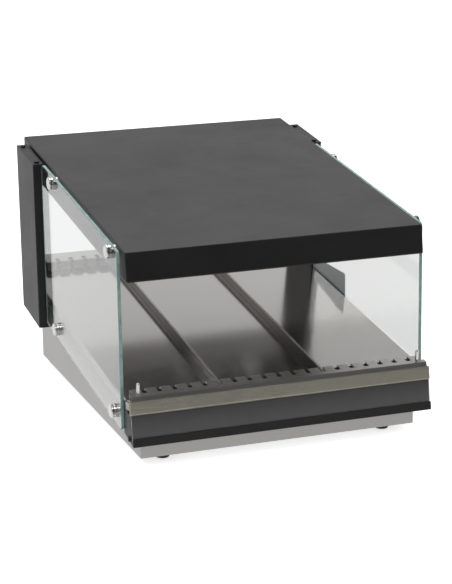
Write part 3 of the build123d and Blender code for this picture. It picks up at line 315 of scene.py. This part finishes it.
def makePowderCoat():
    values = {
        "dark": (0.0068, 0.0068, 0.0069),
        "pale": (0.0082, 0.0082, 0.0083),
        "dull": (0.38, 0.46),
        "specular": 0.34,
        "peel": 700.0,
        "peelStrength": 0.16,
        "peelDepth": 0.00006,
        "smudge": 9.0,
        "scuff": (14.0, 14.0, 160.0),
        "scuffTurn": (0.3, 0.2, 0.4),
        "scuffFrom": (0.55, 0.8),
        "scuffDull": 0.06,
        "edge": 0.0009,
        "rubbed": (0.030, 0.030, 0.031),
        "rubbedFrom": (0.72, 0.97),
    }
    material, tree, shader = startMaterial("powderCoat", IOR=1.5, Specular_IOR_Level=values["specular"])
    smudge = grain(tree, values["smudge"], detail=5.0, rough=0.6)
    peel = grain(tree, values["peel"], detail=2.0)
    scuff = grain(tree, values["scuff"], detail=6.0, rough=0.7, turn=values["scuffTurn"])
    coat = blendColour(tree, spread(tree, smudge, 0, 1), values["dark"], values["pale"])
    edges = edgeMaskForWearAndHighlight(tree, values["edge"], *values["rubbedFrom"])
    worn = calculate(tree, "MULTIPLY", edges, spread(tree, scuff, 0, 1))
    tree.links.new(blendColour(tree, worn, coat, values["rubbed"]), shader.inputs["Base Color"])
    scuffed = spread(tree, scuff, 0.0, values["scuffDull"], *values["scuffFrom"])
    dull = calculate(tree, "ADD", spread(tree, smudge, *values["dull"]), scuffed)
    tree.links.new(dull, shader.inputs["Roughness"])
    bump(tree, shader, peel, values["peelStrength"], values["peelDepth"], values["edge"])
    return material


# sheet metal brushed along x, or along y on faces that look sideways; rim is a painted highlight colour
# along its edges
def makeBrushed(name, dark, pale, roughness, depth=0.07, rim=None):
    values = {
        "fine": 2200.0,
        "run": 6.0,
        "contrast": (0.25, 0.75),
        "patch": 7.0,
        "patchDull": (-0.012, 0.02),
        "distance": 0.00005,
        "edge": 0.0005,
        "highlightWidth": 0.0008,
        "highlightFrom": (0.75, 0.99),
    }
    material, tree, shader = startMaterial(name, Metallic=1.0)
    fine, run = values["fine"], values["run"]
    main = grain(tree, (run, fine, fine), detail=6.0, rough=0.7)
    side = grain(tree, (fine, run, fine), detail=6.0, rough=0.7)
    lines = blendValue(tree, facing(tree, "X"), main, side)
    patch = grain(tree, values["patch"], detail=2.0, rough=0.5)
    colour = blendColour(tree, spread(tree, lines, 0, 1, *values["contrast"]), dark, pale)
    if rim:
        # painted highlight: the edges take the pale rim colour
        colour = blendColour(tree, edgeMaskForWearAndHighlight(tree, values["highlightWidth"], *values["highlightFrom"]), colour, rim)
    tree.links.new(colour, shader.inputs["Base Color"])
    patchDull = spread(tree, patch, *values["patchDull"])
    dull = calculate(tree, "ADD", spread(tree, lines, *roughness), patchDull)
    tree.links.new(dull, shader.inputs["Roughness"])
    bump(tree, shader, lines, depth, values["distance"], values["edge"])
    return material


# the lane dividers, dark on their sides as painted shade and bright along the folded top as a painted
# highlight
def makeDividerSteelPaintedLit():
    values = {
        # the side colours are painted shade, the top colour a painted highlight
        "side": (0.175, 0.163, 0.152),
        "sidePale": (0.185, 0.172, 0.161),
        "top": (0.66, 0.64, 0.60),
        "fine": (2200.0, 6.0, 2200.0),
        "dull": (0.25, 0.27),
        "strength": 0.01,
        "depth": 0.00005,
        "edge": 0.0004,
    }
    material, tree, shader = startMaterial("dividerSteelPaintedLit", Metallic=1.0)
    lines = grain(tree, values["fine"], detail=6.0, rough=0.7)
    side = blendColour(tree, spread(tree, lines, 0, 1), values["side"], values["sidePale"])
    # painted light: top faces take the bright top colour, the sides keep the dark painted shade
    tree.links.new(blendColour(tree, facing(tree, "Z"), side, values["top"]), shader.inputs["Base Color"])
    dullBy(tree, shader, lines, values["dull"])
    bump(tree, shader, lines, values["strength"], values["depth"], values["edge"])
    return material


# plain plated or drawn metal with a fine mottle
def makeMetal(name, dark, pale, roughness, scale=60.0, depth=0.1):
    values = {"finer": 14, "distance": 0.00004}
    material, tree, shader = startMaterial(name, Metallic=1.0)
    mottle = grain(tree, scale, detail=5.0, rough=0.6)
    fine = grain(tree, scale * values["finer"], detail=2.0)
    colourBy(tree, shader, mottle, dark, pale)
    dullBy(tree, shader, mottle, roughness)
    bump(tree, shader, fine, depth, values["distance"])
    return material


# moulded plastic, rubber, ceramic or card
def makePlain(name, dark, pale, roughness, scale=40.0, depth=0.15, fineScale=900.0, **sockets):
    values = {"distance": 0.00008}
    material, tree, shader = startMaterial(name, **sockets)
    mottle = grain(tree, scale, detail=4.0, rough=0.6)
    fine = grain(tree, fineScale, detail=3.0)
    colourBy(tree, shader, mottle, dark, pale)
    dullBy(tree, shader, mottle, roughness)
    bump(tree, shader, fine, depth, values["distance"])
    return material


# lets the lamps shine through clear pieces
def lampsThrough(material):
    tree = material.node_tree
    path = addNode(tree, "ShaderNodeLightPath")
    clear = addNode(tree, "ShaderNodeBsdfTransparent")
    shader = tree.nodes["Principled BSDF"]
    mixed = mixShaders(tree, path.outputs["Is Shadow Ray"], shader.outputs[0], clear.outputs[0])
    tree.links.new(mixed, tree.nodes["Material Output"].inputs[0])
    return material


# clear faces and ground edges
def makePaneGlass():
    values = {
        "face": (0.925, 0.94, 0.932),
        "edge": (0.13, 0.215, 0.208),
        "edgePale": (0.25, 0.37, 0.355),
        "edgeClear": 0.22,
        "edgeDull": 0.22,
        "smear": 5.0,
        "smearFrom": (0.45, 0.75),
        "smearDull": 0.03,
        "ground": 90.0,
    }
    material, tree, shader = startMaterial("paneGlass", IOR=1.5)
    flat = facing(tree, "X", sideways)
    smear = grain(tree, values["smear"], detail=5.0, rough=0.65)
    ground = grain(tree, values["ground"], detail=3.0)
    edge = blendColour(tree, spread(tree, ground, 0, 1), values["edge"], values["edgePale"])
    tree.links.new(blendColour(tree, flat, edge, values["face"]), shader.inputs["Base Color"])
    tree.links.new(blendValue(tree, flat, values["edgeClear"], 1.0), shader.inputs["Transmission Weight"])
    smeared = spread(tree, smear, 0.0, values["smearDull"], *values["smearFrom"])
    tree.links.new(blendValue(tree, flat, values["edgeDull"], smeared), shader.inputs["Roughness"])
    return lampsThrough(material)


# the pilot lamp's tinted lens
def makeAmberLens():
    values = {"tint": (0.85, 0.16, 0.05), "deeper": 0.96, "clear": 0.55, "smear": 30.0, "dull": (0.12, 0.22)}
    material, tree, shader = startMaterial("amberLens", IOR=1.49, Transmission_Weight=values["clear"])
    smear = grain(tree, values["smear"], detail=4.0)
    colourBy(tree, shader, smear, values["tint"], tuple(part * values["deeper"] for part in values["tint"]))
    dullBy(tree, shader, smear, values["dull"])
    return lampsThrough(material)


# the ticket cover, whose sawn ends are painted pale: frosted by the saw, and glowing as a painted highlight
def makeTicketClear():
    values = {
        "face": (0.975, 0.975, 0.975),
        "sawn": (0.95, 0.95, 0.93),
        "sawnClear": 0.05,
        "smear": 12.0,
        "dull": (0.0, 0.025),
    }
    material, tree, shader = startMaterial("clearAcrylic", IOR=1.49)
    sawn = facing(tree, "X", sideways)
    smear = grain(tree, values["smear"], detail=4.0)
    # the ends take the pale colour, partly the frosted cut and partly a painted highlight
    tree.links.new(blendColour(tree, sawn, values["face"], values["sawn"]), shader.inputs["Base Color"])
    tree.links.new(blendValue(tree, sawn, 1.0, values["sawnClear"]), shader.inputs["Transmission Weight"])
    dullBy(tree, shader, smear, values["dull"])
    return lampsThrough(material)


def makeInsulation():
    values = {
        "dark": (0.42, 0.38, 0.26),
        "pale": (0.62, 0.58, 0.44),
        "dull": (0.85, 1.0),
        "fibre": (500.0, 120.0, 500.0),
        "strength": 0.8,
        "depth": 0.0008,
    }
    material, tree, shader = startMaterial("mineralWool", Sheen_Weight=0.4)
    fibre = grain(tree, values["fibre"], detail=8.0, rough=0.75)
    colourBy(tree, shader, fibre, values["dark"], values["pale"])
    dullBy(tree, shader, fibre, values["dull"])
    bump(tree, shader, fibre, values["strength"], values["depth"])
    return material


# polished turned ends and barrels; the caps of the glass fixings have a dark band of painted shade round
# them, where a groove runs
def makeTurned():
    values = {
        "dark": (0.58, 0.575, 0.56),
        "pale": (0.72, 0.71, 0.70),
        "dull": (0.08, 0.2),
        "mottle": 80.0,
        "rings": (1600.0, 30.0, 30.0),
        "strength": 0.12,
        "depth": 0.00004,
        "edge": 0.0005,
        "groove": 0.0037,       # from the outside of the glass
        "half": 0.00045,
        "shade": (0.03, 0.03, 0.03),
    }
    material, tree, shader = startMaterial("turnedSteel", Metallic=1.0)
    rings = grain(tree, values["rings"], detail=3.0, rough=0.6)
    mottle = grain(tree, values["mottle"], detail=4.0)
    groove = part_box("side_glass_right")[1].x + values["groove"]
    outward = calculate(tree, "ABSOLUTE", coordinateParts(tree, "Object")["X"])
    away = calculate(tree, "ABSOLUTE", calculate(tree, "SUBTRACT", outward, groove))
    grooveShadeMask = calculate(tree, "LESS_THAN", away, values["half"])
    turned = blendColour(tree, spread(tree, rings, 0, 1), values["dark"], values["pale"])
    # painted shade: the groove band takes the near-black shade colour
    tree.links.new(blendColour(tree, grooveShadeMask, turned, values["shade"]), shader.inputs["Base Color"])
    dullBy(tree, shader, mottle, values["dull"])
    bump(tree, shader, rings, values["strength"], values["depth"], values["edge"])
    return material


finishes = {
    "black_paint": makePowderCoat(),
    "brushed": makeBrushed("brushedSteel", dark=(0.37, 0.355, 0.335), pale=(0.45, 0.435, 0.412),
                           roughness=(0.24, 0.34)),
    "divider": makeDividerSteelPaintedLit(),
    # the hood's tray is darkened as painted shade under the hood, so the deck mirrors it dark
    "tray": makeBrushed("traySteelPaintedShade", dark=(0.105, 0.098, 0.09), pale=(0.15, 0.142, 0.132),
                        roughness=(0.34, 0.46)),
    "base": makeBrushed("baseSteel", dark=(0.355, 0.345, 0.334), pale=(0.395, 0.385, 0.372),
                        roughness=(0.31, 0.37)),
    # the strip's edges carry a painted highlight in the rim colour
    "strip": makeBrushed("stripSteel", dark=(0.315, 0.295, 0.248), pale=(0.350, 0.329, 0.279),
                         roughness=(0.26, 0.29), depth=0.015, rim=(0.80, 0.78, 0.72)),
    "polished": makeBrushed("mirrorSteel", dark=(0.60, 0.585, 0.565), pale=(0.68, 0.665, 0.65),
                            roughness=(0.05, 0.13), depth=0.05),
    "deck": makeBrushed("deckSteel", dark=(0.40, 0.386, 0.372), pale=(0.46, 0.446, 0.43),
                        roughness=(0.09, 0.16), depth=0.05),
    "turned": makeTurned(),
    "glass": makePaneGlass(),
    "lamp_glass": makePlain("frostedTube", dark=(0.86, 0.87, 0.84), pale=(0.92, 0.92, 0.90),
                            roughness=(0.3, 0.4), scale=30.0, Transmission_Weight=0.25),
    "socket_plastic": makePlain("creamPlastic", dark=(0.58, 0.56, 0.49), pale=(0.66, 0.64, 0.57),
                                roughness=(0.45, 0.55)),
    "sheath": makeMetal("heaterSheath", dark=(0.10, 0.088, 0.075), pale=(0.21, 0.19, 0.165),
                        roughness=(0.42, 0.6), scale=90.0, depth=0.3),
    "holder_ceramic": makePlain("steatite", dark=(0.64, 0.60, 0.52), pale=(0.74, 0.71, 0.64),
                                roughness=(0.6, 0.75), scale=60.0, depth=0.4),
    "zinc": makeMetal("zincPlate", dark=(0.36, 0.37, 0.385), pale=(0.50, 0.505, 0.51),
                      roughness=(0.3, 0.46), scale=45.0, depth=0.2),
    "reflector": makeBrushed("brightAluminium", dark=(0.72, 0.72, 0.73), pale=(0.82, 0.82, 0.83),
                             roughness=(0.1, 0.2), depth=0.06),
    "guard_wire": makeMetal("drawnWire", dark=(0.5, 0.5, 0.5), pale=(0.64, 0.63, 0.62),
                            roughness=(0.16, 0.28), scale=120.0),
    "insulation": makeInsulation(),
    "ticket_card": makePlain("ticketCard", dark=(0.0105, 0.0103, 0.0101), pale=(0.0140, 0.0138, 0.0136),
                             roughness=(0.5, 0.6), scale=22.0, depth=0.02, fineScale=700.0),
    "clear_plastic": makeTicketClear(),
    "black_screw": makeMetal("blackOxide", dark=(0.02, 0.02, 0.022), pale=(0.045, 0.045, 0.047),
                             roughness=(0.35, 0.5), scale=200.0),
    "wire": makePlain("sleevedWire", dark=(0.012, 0.012, 0.013), pale=(0.022, 0.022, 0.023),
                      roughness=(0.45, 0.6), scale=120.0, depth=0.4),
    "bush_rubber": makePlain("bushRubber", dark=(0.008, 0.008, 0.009), pale=(0.016, 0.016, 0.017),
                             roughness=(0.6, 0.75), scale=90.0, depth=0.4),
    "foot_rubber": makePlain("footRubber", dark=(0.006, 0.006, 0.007), pale=(0.013, 0.013, 0.014),
                             roughness=(0.6, 0.8), scale=80.0, depth=0.5),
    "knob_plastic": makePlain("knobPlastic", dark=(0.012, 0.012, 0.013), pale=(0.02, 0.02, 0.021),
                              roughness=(0.3, 0.42), scale=70.0, depth=0.2, fineScale=1400.0),
    "switch_plastic": makePlain("switchPlastic", dark=(0.014, 0.014, 0.015), pale=(0.024, 0.024, 0.025),
                                roughness=(0.42, 0.55), scale=70.0, depth=0.3, fineScale=1400.0),
    "pilot_plastic": makeAmberLens(),
    # near-black sheets of painted shade under the slotted strips
    "gasket": makePlain("gasketRubber", dark=(0.0035, 0.0033, 0.0032), pale=(0.006, 0.0057, 0.0055),
                        roughness=(0.75, 0.9), scale=90.0, depth=0.3),
    "whiteInk": makePlain("whiteInk", dark=(0.70, 0.70, 0.69), pale=(0.80, 0.80, 0.79),
                          roughness=(0.45, 0.55), scale=300.0, depth=0.1),
    "darkInk": makePlain("darkInk", dark=(0.018, 0.018, 0.019), pale=(0.03, 0.03, 0.031),
                         roughness=(0.45, 0.55), scale=300.0, depth=0.1),
    "greyFilm": makePlain("greyFilm", dark=(0.25, 0.292, 0.308), pale=(0.285, 0.332, 0.35),
                          roughness=(0.4, 0.5), scale=50.0, depth=0.1),
}
ownFinish = {       # nodes that look unlike the rest of their slot
    "standoff_caps": "turned",
    "standoff_barrels": "turned",
    "end_pins": "turned",
    "panel_screws": "turned",
    "base_housing": "base",
    "front_strip": "strip",
    "deck_plate": "deck",
    "hood_tray": "tray",
    "lane_divider_left": "divider",
    "lane_divider_right": "divider",
}
print("finishes made:", len(finishes))

for name, piece in nodes.items():
    slot = piece.data.materials[0].name.split(".")[0]
    piece.data.materials.clear()
    piece.data.materials.append(finishes[ownFinish.get(name, slot)])
print("nodes painted")


# a small piece that the solids leave out, riding a body
def addPiece(name, shape, finish, body):
    mesh = bpy.data.meshes.new(name)
    shape.to_mesh(mesh)
    shape.free()
    mesh.materials.append(finishes[finish])
    piece = bpy.data.objects.new(name, mesh)
    bpy.context.scene.collection.objects.link(piece)
    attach(piece, body)


# a closed box from its lowest and highest corners
def addBox(shape, low, high):
    made = bmesh.ops.create_cube(shape, size=1.0)["verts"]
    bmesh.ops.scale(shape, vec=Vector(high) - Vector(low), verts=made)
    bmesh.ops.translate(shape, vec=(Vector(low) + Vector(high)) / 2, verts=made)
    return made


# turns right, up and outward into the given directions, and moves to the origin
def placed(right, up, outward, origin):
    return Matrix.Translation(origin) @ Matrix((right, up, outward)).transposed().to_4x4()


# lettering as a mesh, standing on a face
def addLetters(shape, words, height, thick, place):
    curve = bpy.data.curves.new("letters", "FONT")
    curve.body = words
    curve.size = height
    curve.extrude = thick / 2
    curve.align_x = "CENTER"
    curve.align_y = "CENTER"
    curve.resolution_u = 4
    holder = bpy.data.objects.new("letters", curve)
    bpy.context.scene.collection.objects.link(holder)
    bpy.context.view_layer.update()
    mesh = bpy.data.meshes.new_from_object(holder)
    mesh.transform(place)
    shape.from_mesh(mesh)
    bpy.data.objects.remove(holder)
    bpy.data.curves.remove(curve)
    bpy.data.meshes.remove(mesh)


# the ticks and numbers round the thermostat knob
def makeDial():
    values = {
        "marks": 10,            # from 0 to 90 degrees Celsius
        "sweep": 270.0,
        "inner": 0.0198,
        "outer": 0.0222,
        "longOuter": 0.0232,
        "width": 0.0007,
        "thick": 0.00012,
        "numbers": {0: "0", 3: "30", 6: "60", 9: "90"},
        "numberRadius": 0.0268,
        "numberHeight": 0.0052,
    }
    low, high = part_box("thermostat_knob")
    centre = Vector(((low.x + high.x) / 2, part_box("control_panel")[1].y, (low.z + high.z) / 2))
    half, thick = values["width"] / 2, values["thick"]
    shape = bmesh.new()
    for mark in range(values["marks"]):
        turn = math.radians(values["sweep"] * mark / (values["marks"] - 1))
        end = values["longOuter"] if mark in values["numbers"] else values["outer"]
        bar = addBox(shape, (-half, 0, values["inner"]), (half, thick, end))
        bmesh.ops.rotate(shape, verts=bar, cent=(0, 0, 0), matrix=Matrix.Rotation(-turn, 3, "Y"))
        bmesh.ops.translate(shape, verts=bar, vec=centre)
        if mark in values["numbers"]:
            out = Vector((-math.sin(turn), 0, math.cos(turn))) * values["numberRadius"]
            place = placed((-1, 0, 0), (0, 0, 1), (0, 1, 0), centre + out + Vector((0, thick / 2, 0)))
            addLetters(shape, values["numbers"][mark], values["numberHeight"], thick, place)
    addPiece("dial_marks", shape, "darkInk", "cabinet")


def makePointer():
    values = {"width": 0.0014, "long": 0.0115, "inset": 0.0012, "rise": 0.0004, "thick": 0.0003}
    low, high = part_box("thermostat_knob")
    middle, half = (low.x + high.x) / 2, values["width"] / 2
    face = high.y - values["thick"] - values["rise"] / 2
    start = (low.z + high.z) / 2 + values["inset"]
    shape = bmesh.new()
    addBox(shape, (middle - half, face - values["rise"], start),
           (middle + half, face + values["thick"], start + values["long"]))
    addPiece("knob_pointer", shape, "whiteInk", "thermostat_knob")


# black sheets of painted shade under the slotted strips at the front and rear of the deck, where the gap
# below the slots lies in shade
def makeSlotShadeSheets():
    values = {
        "below": (0.0026, 0.0046),      # from the strip's upper face down to the shade sheet's top and bottom
        "insetFront": 0.0022,
        "insetRear": 0.0016,
        "ends": 0.0125,
        "divider": 0.0028,              # half the gap for a divider
    }
    slope = math.tan(deckTilt)
    for name in ("front_comb_strip", "rear_comb_strip"):
        low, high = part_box(name)
        breaks = [low.x + values["ends"]]
        for divider in ("lane_divider_left", "lane_divider_right"):
            left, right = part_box(divider)
            middle = (left.x + right.x) / 2
            breaks += [middle - values["divider"], middle + values["divider"]]
        breaks += [high.x - values["ends"]]
        top, bottom = values["below"]
        frontTop = high.z - (high.y - low.y) * slope
        shape = bmesh.new()
        for start, end in zip(breaks[::2], breaks[1::2]):
            made = addBox(shape, (start, low.y + values["insetFront"], -bottom),
                          (end, high.y - values["insetRear"], -top))
            for vert in made:
                vert.co.z += frontTop + (vert.co.y - low.y) * slope
        # each run of slots gets a near-black sheet as painted shade
        addPiece(name.replace("strip", "gasket"), shape, "gasket", "cabinet")


# a raised ring on the z = 0 plane
def addRing(shape, outer, inner, thick, segments):
    rim = bmesh.ops.create_circle(shape, segments=segments, radius=outer)["verts"]
    hole = bmesh.ops.create_circle(shape, segments=segments, radius=inner)["verts"]
    loops = [edge for edge in shape.edges if edge.verts[0] in rim + hole]
    flat = bmesh.ops.bridge_loops(shape, edges=loops)["faces"]
    raised = bmesh.ops.extrude_face_region(shape, geom=flat)["geom"]
    lifted = [part for part in raised if isinstance(part, bmesh.types.BMVert)]
    bmesh.ops.translate(shape, verts=lifted, vec=(0, 0, thick))
    return rim + hole + lifted


# a bar on the upper half of each rocker and a ring on the lower half
def makeRockerMarks():
    values = {
        "tilt": math.radians(8.0),
        "middle": (0.003, 0.0046),      # outward and up from the pivot, to the middle of each half
        "slant": (2.0, 9.165),          # the faces slope from the rocker's middle to its ends
        "bar": (0.0009, 0.0042),
        "ring": (0.0023, 0.0016),
        "thick": 0.00012,
        "segments": 32,
    }
    outward = Vector((0, math.cos(values["tilt"]), math.sin(values["tilt"])))
    upward = Vector((0, -math.sin(values["tilt"]), math.cos(values["tilt"])))
    panelLow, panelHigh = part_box("control_panel")
    panelMiddle = (panelLow.z + panelHigh.z) / 2
    (out, up), (rise, run), thick = values["middle"], values["slant"], values["thick"]
    wide, tall = values["bar"]
    for body in ("power_rocker", "light_rocker"):
        low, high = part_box(body)
        pivot = Vector(((low.x + high.x) / 2, panelHigh.y, panelMiddle))
        shape = bmesh.new()
        for half in (1, -1):
            if half > 0:
                made = addBox(shape, (-wide / 2, -tall / 2, 0), (wide / 2, tall / 2, thick))
            else:
                made = addRing(shape, *values["ring"], thick, values["segments"])
            along = (outward * rise + upward * run * half).normalized() * half
            normal = Vector((-1, 0, 0)).cross(along)
            place = placed((-1, 0, 0), along, normal, pivot + outward * out + upward * up * half)
            bmesh.ops.transform(shape, matrix=place, verts=made)
        bmesh.ops.recalc_face_normals(shape, faces=shape.faces)
        addPiece(body + "_marks", shape, "whiteInk", body)


# a plain film stuck to the outside of the right glass
def makeGlassFilm():
    values = {
        "front": 0.0266,
        "rear": 0.1556,
        "low": 0.118,
        "high": 0.166,
        "gap": 0.0002,
        "thick": 0.0003,
        "corner": 0.003,
        "segments": 5,
    }
    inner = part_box("side_glass_right")[1].x + values["gap"]
    outer = inner + values["thick"]
    shape = bmesh.new()
    addBox(shape, (inner, values["front"], values["low"]), (outer, values["rear"], values["high"]))
    through = values["thick"] / 2
    corners = [edge for edge in shape.edges if abs(edge.verts[0].co.x - edge.verts[1].co.x) > through]
    bmesh.ops.bevel(shape, geom=corners, offset=values["corner"], segments=values["segments"], profile=0.5,
                    affect="EDGES", material=-1)
    addPiece("glass_film", shape, "greyFilm", "cabinet")


makeDial()
makePointer()
makeSlotShadeSheets()
makeRockerMarks()
makeGlassFilm()
print("dial, switch marks, gaskets and film made")
